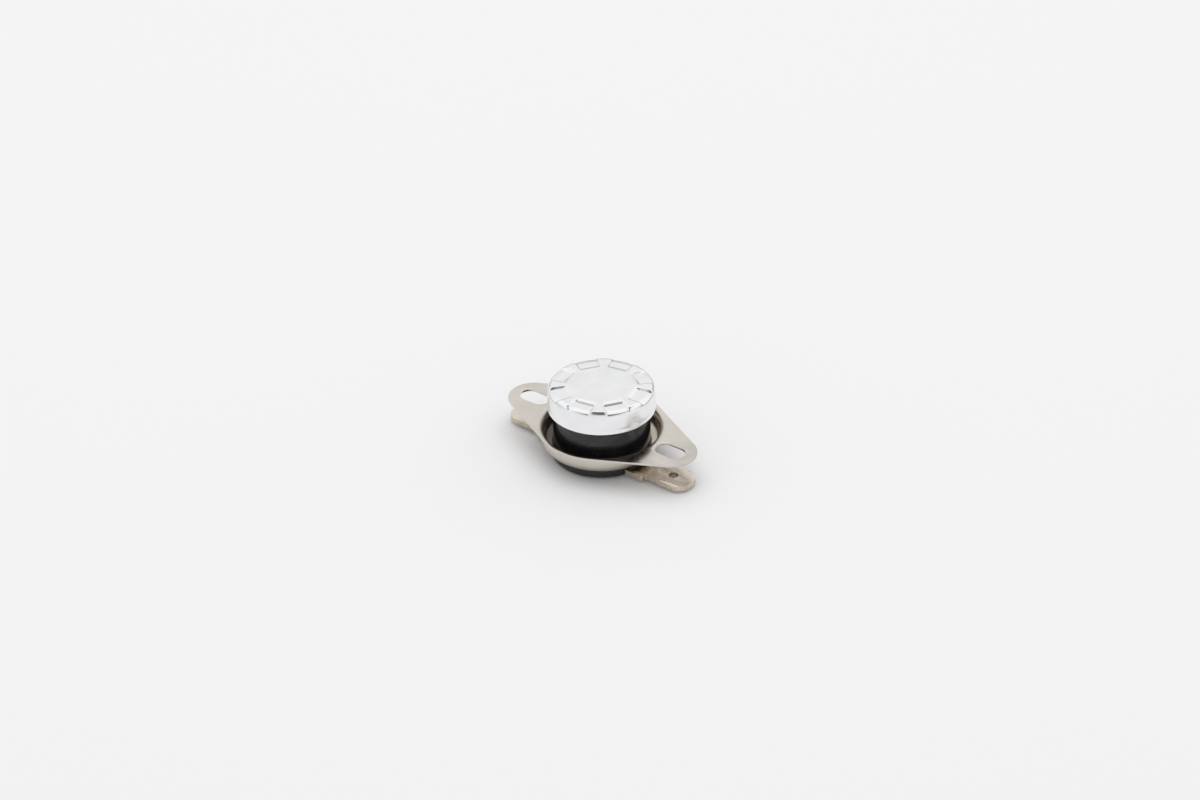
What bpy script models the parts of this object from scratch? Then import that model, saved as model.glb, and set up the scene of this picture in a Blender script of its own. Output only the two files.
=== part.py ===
"""A snap-action bimetal thermostat, standing on its rivets with its sensing cap upward.

Metres, +Z up. The origin is on the body's axis, in the plane that the rivet feet stand on.
+X runs along the two terminals. The bracket turns loosely on the body, and inside the case
the domed bimetal disc pushes a ceramic pin, which presses the contact arm down.
"""

import math

import bmesh
import bpy
from mathutils import Matrix, Vector

MM = 0.001

# Clearances
SEAT = 0.05 * MM  # between faces that rest on each other
RUNNING = 0.10 * MM  # round a shank, pin or blade in its hole or recess
OVERCUT = 0.60 * MM  # how far a cutter runs past the face that it opens

# Drawn cap
CAP_R = 8.00 * MM  # at its crimped edge
CAP_WALL = 0.35 * MM
CAP_PLAY = 0.20 * MM  # round the collar of the base
CAP_DRAFT = 0.12 * MM  # lost from the radius over the height
CAP_FILLET = 0.80 * MM
CAP_CRIMP_BEND = 0.45 * MM  # outer radius of the rolled-in edge
CAP_CRIMP_GAP = 0.15 * MM  # crimped edge to the neck of the base
PAD_COUNT = 8
PAD_TURN = math.radians(12.2)
PAD_DEPTH = 0.45 * MM
PAD_LENGTH = 2.80 * MM  # the pad's inner wall to the cap's side
TONGUE_INNER_WIDTH = 1.66 * MM  # between two pads, level with their inner walls
TONGUE_OUTER_WIDTH = 3.48 * MM  # between two pads, level with the cap's side
PAD_WALL_SLOPE = 0.14 * MM  # how far each pad wall leans over its depth

# Rivets that carry the terminals
RIVET_SHANK_R = 0.75 * MM
RIVET_FOOT_R = 1.60 * MM
RIVET_FOOT_HEIGHT = 0.42 * MM
RIVET_HEAD_R = 1.25 * MM
RIVET_HEAD_HEIGHT = 0.40 * MM
HEAD_ROUNDING = 0.6  # edge radius as a share of a rivet head's height
FOOT_ROUNDING = 0.4
RIVET_STRIP_GAP = 0.13 * MM  # head to the upright part of its strip

# Blade terminals
TERMINAL_THICKNESS = 0.80 * MM
TERMINAL_REACH = 16.60 * MM  # axis to tip
TERMINAL_HEEL = 1.75 * MM  # rivet's axis to the inner end
TERMINAL_ROOT_WIDTH = 6.40 * MM
TERMINAL_SHOULDER_RADIUS = 0.35 * MM
BLADE_WIDTH = 4.80 * MM
BLADE_LENGTH = 6.60 * MM  # shoulders to tip
BLADE_TIP_RADIUS = 2.10 * MM
BLADE_HOLE_R = 0.70 * MM
BLADE_HOLE_FROM_TIP = 3.30 * MM
BLADE_EDGE_BEVEL = 0.12 * MM

# Moulded base
BASE_LIFT = 0.35 * MM  # underside of the base above the rivet feet
BASE_FLANGE_WIDTH = 0.35 * MM  # how far the lower flange stands out from the neck
BASE_FLANGE_TOP = 1.80 * MM
BASE_NECK_HEIGHT = 6.42 * MM  # lower flange to upper collar
BASE_COLLAR_WIDTH = 0.25 * MM
BASE_COLLAR_HEIGHT = 1.95 * MM
BASE_EDGE = 0.20 * MM  # rounding of the base's outer edges
BASE_FLOOR_THICKNESS = 1.70 * MM
BASE_MOUTH_WALL = 0.65 * MM  # round the guide plate
GUIDE_SEAT_DEPTH = 0.75 * MM

# Pin guide, under the disc
GUIDE_LEDGE = 0.80 * MM  # the step in the base that it rests on
GUIDE_THICKNESS = 1.05 * MM
GUIDE_RIM_WIDTH = 1.10 * MM
GUIDE_RECESS_DEPTH = 0.45 * MM
GUIDE_BOSS_R = 1.90 * MM
GUIDE_BOSS_DROP = 0.85 * MM

# Snap disc and push pin
DISC_MARGIN = 0.25 * MM  # edge of the guide to edge of the disc
DISC_THICKNESS = 0.20 * MM
DISC_DOME = 0.25 * MM
DISC_PLAY = 0.16 * MM  # under the stamped pads of the cap
PIN_R = 0.90 * MM
PIN_CHAMFER = 0.40 * MM
PIN_FREE = 0.15 * MM  # from the domed disc to the pin

# Contact strips, arm and contact rivets
STRIP_THICKNESS = 0.40 * MM
STRIP_WIDTH = 3.20 * MM
STRIP_HEEL = 1.35 * MM  # rivet's axis to the end of a strip's foot
STRIP_BEND = 0.45 * MM  # outer radius of its folds
CARRIER_HEIGHT = 2.00 * MM  # cavity floor to the top of the spring carrier
CARRIER_SHELF = 2.33 * MM  # its outer side to the lip that the arm bends over
ARM_THICKNESS = 0.15 * MM
ARM_INSET = 0.23 * MM  # outer side of the carrier to the arm's root
ARM_WIDTH = 3.00 * MM
ARM_NECK_WIDTH = 2.30 * MM
ARM_TIP_R = 1.20 * MM  # round the contact
CONTACT_X = -2.30 * MM
CONTACT_R = 1.00 * MM
CONTACT_HEAD_HEIGHT = 0.50 * MM
CONTACT_SHANK_R = 0.45 * MM
CONTACT_UPSET_R = 0.70 * MM
CONTACT_UPSET_HEIGHT = 0.20 * MM

# Loose bracket
SHEET = 0.30 * MM
BRACKET_DEPTH = 3.12 * MM  # top of the plate to the underside of its lip
BRACKET_REST_TURN = math.radians(1.6)
BRACKET_PLAY = 0.15 * MM  # the lip's edge to the neck of the base
BRACKET_LIP_WIDTH = 1.70 * MM  # the lip's edge to the outside of the drawn ring
BRACKET_RIM_WIDTH = 0.55 * MM  # the drawn ring to the outline beside it
BRACKET_MOUTH_BEND = 0.75 * MM  # radius on the inside of the mouth
BRACKET_LIP_BEND = 1.20 * MM  # inner radius where the wall turns into the lip
EAR_R = 3.85 * MM
EAR_OVERHANG = 0.20 * MM  # the middle of an ear's round end beyond the middle of its slot
SLOT_BRIDGE = 0.45 * MM  # the mouth's edge to the slot
SLOT_WIDTH = 3.00 * MM
SLOT_LENGTH = 4.90 * MM

# Facets
ROUND_STEPS = 64
DISC_STEPS = 40
SMALL_STEPS = 20
BEND_STEPS = 4
DISC_RINGS = 6

# Radii that follow from the sizes above, from the cap inward and then outward to the bracket
BASE_COLLAR_R = CAP_R - CAP_WALL - CAP_PLAY
BASE_BODY_R = BASE_COLLAR_R - BASE_COLLAR_WIDTH
BASE_FLANGE_R = BASE_BODY_R + BASE_FLANGE_WIDTH
BASE_MOUTH_R = BASE_COLLAR_R - BASE_MOUTH_WALL
GUIDE_R = BASE_MOUTH_R - RUNNING
CAVITY_R = BASE_MOUTH_R - GUIDE_LEDGE
DISC_R = GUIDE_R - DISC_MARGIN
BRACKET_LIP_R = BASE_BODY_R + BRACKET_PLAY
BRACKET_WALL_R = BRACKET_LIP_R + BRACKET_LIP_WIDTH
BRACKET_RING_R = BRACKET_WALL_R + BRACKET_RIM_WIDTH
BRACKET_MOUTH_R = BRACKET_WALL_R - SHEET + BRACKET_MOUTH_BEND
SLOT_X = BRACKET_MOUTH_R + SLOT_BRIDGE + SLOT_LENGTH / 2
EAR_X = SLOT_X + EAR_OVERHANG

# Places along the terminals that follow, from the wall of the cavity inward
STRIP_OUTER_X = math.sqrt((CAVITY_R - SEAT) ** 2 - (STRIP_WIDTH / 2) ** 2)
RIVET_X = STRIP_OUTER_X - STRIP_THICKNESS - RIVET_STRIP_GAP - RIVET_HEAD_R
STRIP_INNER_X = RIVET_X - STRIP_HEEL
TERMINAL_INNER_END = RIVET_X - TERMINAL_HEEL
TERMINAL_SHOULDER_X = TERMINAL_REACH - BLADE_LENGTH
CARRIER_LIP_X = STRIP_OUTER_X - CARRIER_SHELF
ARM_ROOT_X = STRIP_OUTER_X - ARM_INSET
PAD_INNER_DISTANCE = CAP_R - PAD_LENGTH

# Levels that follow from the sizes above, from the table upward
TERMINAL_BOTTOM = RIVET_FOOT_HEIGHT + SEAT
TERMINAL_TOP = TERMINAL_BOTTOM + TERMINAL_THICKNESS
RECESS_TOP = TERMINAL_TOP + SEAT
CAVITY_FLOOR = RECESS_TOP + BASE_FLOOR_THICKNESS
COLLAR_BOTTOM = BASE_FLANGE_TOP + BASE_NECK_HEIGHT
BASE_TOP = COLLAR_BOTTOM + BASE_COLLAR_HEIGHT
GUIDE_BOTTOM = BASE_TOP - GUIDE_SEAT_DEPTH + SEAT
GUIDE_TOP = GUIDE_BOTTOM + GUIDE_THICKNESS
DISC_RIM_BOTTOM = GUIDE_TOP + SEAT
DISC_RIM_TOP = DISC_RIM_BOTTOM + DISC_THICKNESS
PAD_INSIDE = DISC_RIM_TOP + DISC_PLAY
PAD_TOP = PAD_INSIDE + CAP_WALL
CAP_TOP = PAD_TOP + PAD_DEPTH
CAP_BOTTOM = COLLAR_BOTTOM - SEAT - CAP_WALL
STRIP_BOTTOM = CAVITY_FLOOR + SEAT
STRIP_TOP = STRIP_BOTTOM + STRIP_THICKNESS
CARRIER_TOP = CAVITY_FLOOR + CARRIER_HEIGHT
ARM_BOTTOM = CARRIER_TOP + SEAT
ARM_TOP = ARM_BOTTOM + ARM_THICKNESS
MOVING_FACE = ARM_TOP + SEAT + CONTACT_HEAD_HEIGHT
FIXED_FACE = MOVING_FACE + SEAT
BRIDGE_BOTTOM = FIXED_FACE + CONTACT_HEAD_HEIGHT + SEAT
BRIDGE_TOP = BRIDGE_BOTTOM + STRIP_THICKNESS
PIN_BOTTOM = ARM_TOP + SEAT
PIN_TOP = DISC_RIM_BOTTOM + DISC_DOME - PIN_FREE
PLATE_TOP = BASE_FLANGE_TOP + SEAT + BRACKET_DEPTH
MERGE = 1e-6


def clear_scene():
    for obj in list(bpy.data.objects):
        bpy.data.objects.remove(obj, do_unlink=True)


def new_collection(name):
    collection = bpy.data.collections.new(name)
    bpy.context.scene.collection.children.link(collection)
    return collection


def make_material(name, colour, metallic, roughness):
    material = bpy.data.materials.new(name)
    material.use_nodes = True
    shader = material.node_tree.nodes["Principled BSDF"]
    shader.inputs["Base Color"].default_value = (*colour, 1.0)
    shader.inputs["Metallic"].default_value = metallic
    shader.inputs["Roughness"].default_value = roughness
    material.diffuse_color = (*colour, 1.0)
    return material


def add_object(name, data, collection, material=None, parent=None):
    obj = bpy.data.objects.new(name, data)
    collection.objects.link(obj)
    if material:
        data.materials.append(material)
    if parent:
        obj.parent = parent
    return obj


def add_empty(name, location, turn, collection):
    empty = bpy.data.objects.new(name, None)
    empty.empty_display_size = 2 * MM
    empty.location = location
    empty.rotation_euler = (0, 0, turn)
    collection.objects.link(empty)
    return empty


def make_cutter(obj):
    obj.hide_render = True
    obj.display_type = "WIRE"
    return obj


def boolean(obj, other, operation="DIFFERENCE"):
    modifier = obj.modifiers.new(f"{operation.lower()} {other.name}", "BOOLEAN")
    modifier.operation = operation
    modifier.solver = "EXACT"
    modifier.object = other


def shade(obj, angle=35):
    obj.data.shade_smooth()
    obj.data.set_sharp_from_angle(angle=math.radians(angle))


def arc(centre, radius, start, end, steps=BEND_STEPS):
    """Points of an arc in the plane, angles in degrees."""
    points = []
    for step in range(steps + 1):
        angle = math.radians(start + (end - start) * step / steps)
        points.append((centre[0] + radius * math.cos(angle), centre[1] + radius * math.sin(angle)))
    return points


def turned(name, profile, collection, material=None, steps=ROUND_STEPS, ring=False, parent=None):
    """A solid of revolution about Z. The profile is (radius, z), down its outer side."""
    mesh = bpy.data.meshes.new(name)
    count = len(profile)
    edges = [(i, i + 1) for i in range(count - 1)]
    if ring:
        edges.append((count - 1, 0))
    mesh.from_pydata([(r, 0, z) for r, z in profile], edges, [])
    obj = add_object(name, mesh, collection, material, parent)
    screw = obj.modifiers.new("turn", "SCREW")
    screw.axis = "Z"
    screw.steps = steps
    screw.render_steps = steps
    screw.use_merge_vertices = True
    screw.merge_threshold = MERGE
    screw.use_smooth_shade = True
    return obj


def outline_mesh(name, loops, thickness, bevel=0.0):
    """A flat plate from closed outlines (the first is the rim, the others its holes), centred on z = 0."""
    curve = bpy.data.curves.new(name, "CURVE")
    curve.dimensions = "2D"
    curve.fill_mode = "BOTH"
    curve.extrude = thickness / 2
    for loop in loops:
        spline = curve.splines.new("POLY")
        spline.points.add(len(loop) - 1)
        for point, (x, y) in zip(spline.points, loop):
            point.co = (x, y, 0, 1)
        spline.use_cyclic_u = True
    source = bpy.data.objects.new(name, curve)
    bpy.context.scene.collection.objects.link(source)
    graph = bpy.context.evaluated_depsgraph_get()
    mesh = bpy.data.meshes.new_from_object(source.evaluated_get(graph))
    bpy.data.objects.remove(source, do_unlink=True)
    bpy.data.curves.remove(curve)
    shape = bmesh.new()
    shape.from_mesh(mesh)
    bmesh.ops.remove_doubles(shape, verts=shape.verts, dist=MERGE)
    if bevel:
        rims = [e for e in shape.edges if e.is_manifold and e.calc_face_angle() > math.radians(60)
                and abs(e.verts[0].co.z - e.verts[1].co.z) < MERGE]
        bmesh.ops.bevel(shape, geom=rims, offset=bevel, segments=2, profile=0.5, affect="EDGES")
    shape.to_mesh(mesh)
    shape.free()
    mesh.name = name
    return mesh


def circle(centre, radius, steps=SMALL_STEPS):
    return arc(centre, radius, 0, 360, steps)[:-1]


def rounded_path(corners, radius, steps=BEND_STEPS):
    """An open path through the corners, each inner corner rounded."""
    path = [Vector(corners[0])]
    for before, corner, after in zip(corners, corners[1:], corners[2:]):
        corner = Vector(corner)
        towards = (Vector(before) - corner).normalized()
        away = (Vector(after) - corner).normalized()
        half = towards.angle(away) / 2
        centre = corner + (towards + away).normalized() * radius / math.sin(half)
        start = corner + towards * radius / math.tan(half) - centre
        sweep = start.angle_signed(corner + away * radius / math.tan(half) - centre)
        for step in range(steps + 1):
            turn = Matrix.Rotation(-sweep * step / steps, 2)
            path.append(centre + turn @ start)
    path.append(Vector(corners[-1]))
    return path


def folded_strip(name, corners, width, thickness, bend, collection, material):
    """A strip folded along a path in XZ, which is its outer face, and as wide as given along Y."""
    path = rounded_path(corners, bend)
    mesh = bpy.data.meshes.new(name)
    shape = bmesh.new()
    near = [shape.verts.new((x, -width / 2, z)) for x, z in path]
    edges = [shape.edges.new(pair) for pair in zip(near, near[1:])]
    swept = bmesh.ops.extrude_edge_only(shape, edges=edges)
    moved = [item for item in swept["geom"] if isinstance(item, bmesh.types.BMVert)]
    bmesh.ops.translate(shape, verts=moved, vec=(0, width, 0))
    shape.to_mesh(mesh)
    shape.free()
    obj = add_object(name, mesh, collection, material)
    solidify = obj.modifiers.new("sheet", "SOLIDIFY")
    solidify.thickness = thickness
    solidify.offset = 1
    solidify.use_even_offset = True
    return obj


def hole_cutter(name, x, radius, low, high, collection):
    profile = [(0, high), (radius, high), (radius, low), (0, low)]
    cutter = turned(name, profile, collection, steps=SMALL_STEPS)
    cutter.location.x = x
    return make_cutter(cutter)


def cap_radius(z):
    """Outer radius of the cap's wall, which draws in a little towards the top."""
    share = (z - CAP_BOTTOM) / (CAP_TOP - CAP_BOTTOM)
    return CAP_R - CAP_DRAFT * share


def cap_outside(top):
    """Profile of the cap's outside for a flat top at this level, down to the crimped edge."""
    side = cap_radius(top - CAP_FILLET)
    crimp = (CAP_R - CAP_CRIMP_BEND, CAP_BOTTOM + CAP_CRIMP_BEND)
    profile = [(0, top)]
    profile += arc((side - CAP_FILLET, top - CAP_FILLET), CAP_FILLET, 90, 0)
    profile += arc(crimp, CAP_CRIMP_BEND, 0, -90)
    profile += [(0, CAP_BOTTOM)]
    return profile


def cap_inside(top):
    """Profile of the space in the cap, whose crimped edge leaves an opening round the base's neck."""
    side = cap_radius(top - CAP_FILLET) - CAP_WALL
    fillet = CAP_FILLET - CAP_WALL
    mouth = BASE_BODY_R + CAP_CRIMP_GAP
    profile = [(0, top - CAP_WALL)]
    profile += arc((side - fillet, top - CAP_FILLET), fillet, 90, 0)
    profile += [(CAP_R - CAP_WALL, CAP_BOTTOM + CAP_WALL), (mouth, CAP_BOTTOM + CAP_WALL)]
    profile += [(mouth, CAP_BOTTOM - OVERCUT), (0, CAP_BOTTOM - OVERCUT)]
    return profile


def pad_half_width(distance):
    """Half a pad's width at this distance from the axis, as the tongues beside it leave it."""
    share = (distance - PAD_INNER_DISTANCE) / PAD_LENGTH
    tongue = TONGUE_INNER_WIDTH + (TONGUE_OUTER_WIDTH - TONGUE_INNER_WIDTH) * share
    return distance * math.tan(math.pi / PAD_COUNT) - tongue / 2


def pad_blocks(name, low, high, offset, collection):
    """Tapered blocks round the top, one to a stamped pad, reaching out past the cap's edge."""
    reach = CAP_R + OVERCUT
    shape = bmesh.new()
    for index in range(PAD_COUNT):
        block = bmesh.ops.create_cube(shape, size=1)["verts"]
        for vert in block:
            lean = PAD_WALL_SLOPE * ((high if vert.co.z > 0 else low) - PAD_TOP) / PAD_DEPTH
            outer = vert.co.x > 0
            half = pad_half_width(reach if outer else PAD_INNER_DISTANCE)
            vert.co.x = reach if outer else PAD_INNER_DISTANCE - offset - lean
            vert.co.y = math.copysign(half + offset + lean, vert.co.y)
            vert.co.z = high if vert.co.z > 0 else low
        turn = Matrix.Rotation(PAD_TURN + index * 2 * math.pi / PAD_COUNT, 3, "Z")
        bmesh.ops.rotate(shape, verts=block, matrix=turn)
    mesh = bpy.data.meshes.new(name)
    shape.to_mesh(mesh)
    shape.free()
    return make_cutter(add_object(name, mesh, collection))


def build_cap(parts, cutters, material):
    """A drawn cup whose top is stamped: a raised disc with tongues between eight sunk pads."""
    raised = make_cutter(turned("cap raised form", cap_outside(CAP_TOP), cutters))
    blocks = pad_blocks("cap pads outside", PAD_TOP - OVERCUT, CAP_TOP + CAP_WALL / 2, 0, cutters)
    boolean(raised, blocks)
    raised_inside = make_cutter(turned("cap raised space", cap_inside(CAP_TOP), cutters))
    blocks = pad_blocks("cap pads inside", PAD_INSIDE - OVERCUT, CAP_TOP, CAP_WALL, cutters)
    boolean(raised_inside, blocks)
    space = make_cutter(turned("cap space", cap_inside(PAD_TOP), cutters))
    boolean(space, raised_inside, "UNION")
    cap = turned("cap", cap_outside(PAD_TOP), parts, material)
    boolean(cap, raised, "UNION")
    boolean(cap, space)
    return cap


def build_base(parts, cutters, material):
    """The moulded case: lower flange, neck, crimped collar, and a stepped cavity open at the top."""
    edge = BASE_EDGE
    seat = BASE_TOP - GUIDE_SEAT_DEPTH
    profile = [(0, CAVITY_FLOOR), (CAVITY_R, CAVITY_FLOOR), (CAVITY_R, seat)]
    profile += [(BASE_MOUTH_R, seat), (BASE_MOUTH_R, BASE_TOP)]
    profile += arc((BASE_COLLAR_R - edge, BASE_TOP - edge), edge, 90, 0, 2)
    profile += [(BASE_COLLAR_R, COLLAR_BOTTOM), (BASE_BODY_R, COLLAR_BOTTOM)]
    profile += [(BASE_BODY_R, BASE_FLANGE_TOP)]
    profile += arc((BASE_FLANGE_R - edge, BASE_FLANGE_TOP - edge), edge, 90, 0, 2)
    profile += arc((BASE_FLANGE_R - edge, BASE_LIFT + edge), edge, 0, -90, 2)
    profile += [(0, BASE_LIFT)]
    base = turned("base", profile, parts, material)
    inner = TERMINAL_INNER_END - RUNNING
    outer = BASE_FLANGE_R + OVERCUT
    width = TERMINAL_ROOT_WIDTH + 2 * RUNNING
    for side, sign in (("left", -1), ("right", 1)):
        bpy.ops.mesh.primitive_cube_add(size=1)
        recess = bpy.context.object
        recess.name = f"terminal recess {side}"
        for collection in list(recess.users_collection):
            collection.objects.unlink(recess)
        cutters.objects.link(recess)
        recess.scale = (outer - inner, width, RECESS_TOP + OVERCUT)
        recess.location = (sign * (inner + outer) / 2, 0, (RECESS_TOP - OVERCUT) / 2)
        boolean(base, make_cutter(recess))
        hole = hole_cutter(f"rivet hole {side}", sign * RIVET_X, RIVET_SHANK_R + SEAT,
                           BASE_LIFT - OVERCUT, CAVITY_FLOOR + OVERCUT, cutters)
        boolean(base, hole)
    return base


def build_guide(parts, material):
    """The plate that closes the case, carries the disc on its rim and guides the pin in its boss."""
    hole = PIN_R + RUNNING
    recess_r = GUIDE_R - GUIDE_RIM_WIDTH
    recess = GUIDE_TOP - GUIDE_RECESS_DEPTH
    profile = [(hole, recess), (recess_r, recess), (recess_r, GUIDE_TOP), (GUIDE_R, GUIDE_TOP)]
    profile += [(GUIDE_R, GUIDE_BOTTOM), (GUIDE_BOSS_R, GUIDE_BOTTOM)]
    profile += [(GUIDE_BOSS_R, GUIDE_BOTTOM - GUIDE_BOSS_DROP), (hole, GUIDE_BOTTOM - GUIDE_BOSS_DROP)]
    return turned("guide_plate", profile, parts, material, steps=DISC_STEPS, ring=True)


def build_disc(parts, material):
    """The shallow dome of bimetal, which snaps through when it is hot."""
    radii = [DISC_R * ring / DISC_RINGS for ring in range(DISC_RINGS + 1)]
    upper = [(r, DISC_RIM_TOP + DISC_DOME * (1 - (r / DISC_R) ** 2)) for r in radii]
    lower = [(r, z - DISC_THICKNESS) for r, z in reversed(upper)]
    return turned("bimetal_disc", upper + lower, parts, material, steps=DISC_STEPS)


def build_pin(parts, material, carrier):
    tip = PIN_R - PIN_CHAMFER
    profile = [(0, PIN_TOP), (tip, PIN_TOP), (PIN_R, PIN_TOP - PIN_CHAMFER)]
    profile += [(PIN_R, PIN_BOTTOM + PIN_CHAMFER), (tip, PIN_BOTTOM), (0, PIN_BOTTOM)]
    pin = turned("push_pin", profile, parts, material, steps=SMALL_STEPS, parent=carrier)
    return pin


def spool(foot_r, foot_low, foot_high, shank_r, head_r, head_low, head_high):
    """Profile of a rivet: head, shank and foot, with the outer edges of both ends rounded."""
    head_edge = HEAD_ROUNDING * (head_high - head_low)
    foot_edge = FOOT_ROUNDING * (foot_high - foot_low)
    profile = [(0, head_high)]
    profile += arc((head_r - head_edge, head_high - head_edge), head_edge, 90, 0, 2)
    profile += [(head_r, head_low), (shank_r, head_low), (shank_r, foot_high), (foot_r, foot_high)]
    profile += arc((foot_r - foot_edge, foot_low + foot_edge), foot_edge, 0, -90, 2)
    profile += [(0, foot_low)]
    return profile


def build_rivet(side, sign, parts, material):
    head = STRIP_TOP + SEAT
    profile = spool(RIVET_FOOT_R, 0, RIVET_FOOT_HEIGHT, RIVET_SHANK_R,
                    RIVET_HEAD_R, head, head + RIVET_HEAD_HEIGHT)
    rivet = turned(f"rivet_{side}", profile, parts, material, steps=SMALL_STEPS)
    rivet.location.x = sign * RIVET_X
    return rivet


def build_terminal(side, turn, parts, material):
    """A blade with a wide root riveted under the base, shoulders, and a rounded, pierced tip."""
    root = TERMINAL_ROOT_WIDTH / 2
    blade = BLADE_WIDTH / 2
    corner = TERMINAL_SHOULDER_RADIUS
    tip = BLADE_TIP_RADIUS
    shoulder = TERMINAL_SHOULDER_X
    upper = [(TERMINAL_INNER_END, root)]
    upper += arc((shoulder - corner, root - corner), corner, 90, 0, 3)
    upper += arc((shoulder + corner, blade + corner), corner, 180, 270, 3)
    upper += arc((TERMINAL_REACH - tip, blade - tip), tip, 90, 0, 6)
    rim = upper + [(x, -y) for x, y in reversed(upper)]
    holes = [circle((RIVET_X, 0), RIVET_SHANK_R + SEAT),
             circle((TERMINAL_REACH - BLADE_HOLE_FROM_TIP, 0), BLADE_HOLE_R)]
    mesh = outline_mesh(f"terminal_{side}", [rim, *holes], TERMINAL_THICKNESS, BLADE_EDGE_BEVEL)
    terminal = add_object(f"terminal_{side}", mesh, parts, material)
    terminal.location.z = (TERMINAL_BOTTOM + TERMINAL_TOP) / 2
    terminal.rotation_euler.z = turn
    shade(terminal)
    return terminal


def build_strips(parts, cutters, material):
    """The two folded strips on the cavity floor: one carries the arm, one holds the fixed contact."""
    levels = (STRIP_BOTTOM, BRIDGE_TOP)
    bridge_end = CONTACT_X + CONTACT_R
    corners = [(-STRIP_INNER_X, levels[0]), (-STRIP_OUTER_X, levels[0]),
               (-STRIP_OUTER_X, levels[1]), (bridge_end, levels[1])]
    fixed = folded_strip("fixed_contact_strip", corners, STRIP_WIDTH, STRIP_THICKNESS,
                         STRIP_BEND, parts, material)
    corners = [(CARRIER_LIP_X, CARRIER_TOP), (STRIP_OUTER_X, CARRIER_TOP),
               (STRIP_OUTER_X, STRIP_BOTTOM), (STRIP_INNER_X, STRIP_BOTTOM)]
    carrier = folded_strip("spring_carrier", corners, STRIP_WIDTH, STRIP_THICKNESS,
                           STRIP_BEND, parts, material)
    for strip, x in ((fixed, -RIVET_X), (carrier, RIVET_X)):
        hole = hole_cutter(f"{strip.name} rivet hole", x, RIVET_SHANK_R + SEAT,
                           STRIP_BOTTOM - OVERCUT / 2, STRIP_TOP + OVERCUT / 2, cutters)
        boolean(strip, hole)
    contact_hole = hole_cutter("fixed contact hole", CONTACT_X, CONTACT_SHANK_R + SEAT,
                               BRIDGE_BOTTOM - OVERCUT / 2, BRIDGE_TOP + OVERCUT / 2, cutters)
    boolean(fixed, contact_hole)
    return fixed, carrier


def build_arm(parts, material, pivot):
    """The leaf spring: square at its root, necked, and round about the contact it carries."""
    neck = ARM_NECK_WIDTH / 2
    root = ARM_WIDTH / 2
    side = [(ARM_ROOT_X, root), (CARRIER_LIP_X, root), (CARRIER_LIP_X - (root - neck), neck)]
    join = math.degrees(math.asin(min(1, neck / ARM_TIP_R)))
    side += arc((CONTACT_X, 0), ARM_TIP_R, join, 180, 9)
    rim = side + [(x, -y) for x, y in reversed(side[:-1])]
    hole = circle((CONTACT_X, 0), CONTACT_SHANK_R + SEAT)
    mesh = outline_mesh("contact_arm", [rim, hole], ARM_THICKNESS)
    level = (ARM_BOTTOM + ARM_TOP) / 2
    mesh.transform(Matrix.Translation(Vector((0, 0, level)) - pivot.location))
    return add_object("contact_arm", mesh, parts, material, parent=pivot)


def build_contacts(parts, material, pivot):
    """Two contact rivets facing each other, one upset under the arm and one over the bridge."""
    head_low = ARM_TOP + SEAT
    upset = ARM_BOTTOM - SEAT
    profile = spool(CONTACT_UPSET_R, upset - CONTACT_UPSET_HEIGHT, upset, CONTACT_SHANK_R,
                    CONTACT_R, head_low, MOVING_FACE)
    moving = turned("moving_contact", profile, parts, material, steps=SMALL_STEPS)
    moving.parent = pivot
    moving.location = Vector((CONTACT_X, 0, 0)) - pivot.location
    upset = BRIDGE_TOP + SEAT
    profile = spool(CONTACT_R, FIXED_FACE, FIXED_FACE + CONTACT_HEAD_HEIGHT, CONTACT_SHANK_R,
                    CONTACT_UPSET_R, upset, upset + CONTACT_UPSET_HEIGHT)
    fixed = turned("fixed_contact", profile, parts, material, steps=SMALL_STEPS)
    fixed.location.x = CONTACT_X
    return moving, fixed


def ear_outline():
    """Outline of the plate: a ring between two ears, joined by straight tangent edges."""
    lean = math.degrees(math.asin((BRACKET_RING_R - EAR_R) / EAR_X))
    points = arc((EAR_X, 0), EAR_R, lean - 90, 90 - lean, 14)
    points += arc((0, 0), BRACKET_RING_R, 90 - lean, 90 + lean, 12)
    points += arc((-EAR_X, 0), EAR_R, 90 + lean, 270 - lean, 14)
    points += arc((0, 0), BRACKET_RING_R, 270 - lean, 270 + lean, 12)
    return points


def slot_outline(sign):
    radius = SLOT_WIDTH / 2
    straight = SLOT_LENGTH / 2 - radius
    centre = sign * SLOT_X
    points = arc((centre + straight, 0), radius, -90, 90, 10)
    points += arc((centre - straight, 0), radius, 90, 270, 10)
    return points


def drawn_ring():
    """(radius, z) down the inner face of the ring: mouth bend, wall, bend and lip."""
    mouth = BRACKET_MOUTH_BEND
    bend = BRACKET_LIP_BEND
    lip_top = PLATE_TOP - BRACKET_DEPTH + SHEET
    points = arc((BRACKET_MOUTH_R, PLATE_TOP - mouth), mouth, 90, 180, 5)
    points += arc((BRACKET_MOUTH_R - mouth - bend, lip_top + bend), bend, 0, -90, 4)
    points += [(BRACKET_LIP_R, lip_top)]
    return points


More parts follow.
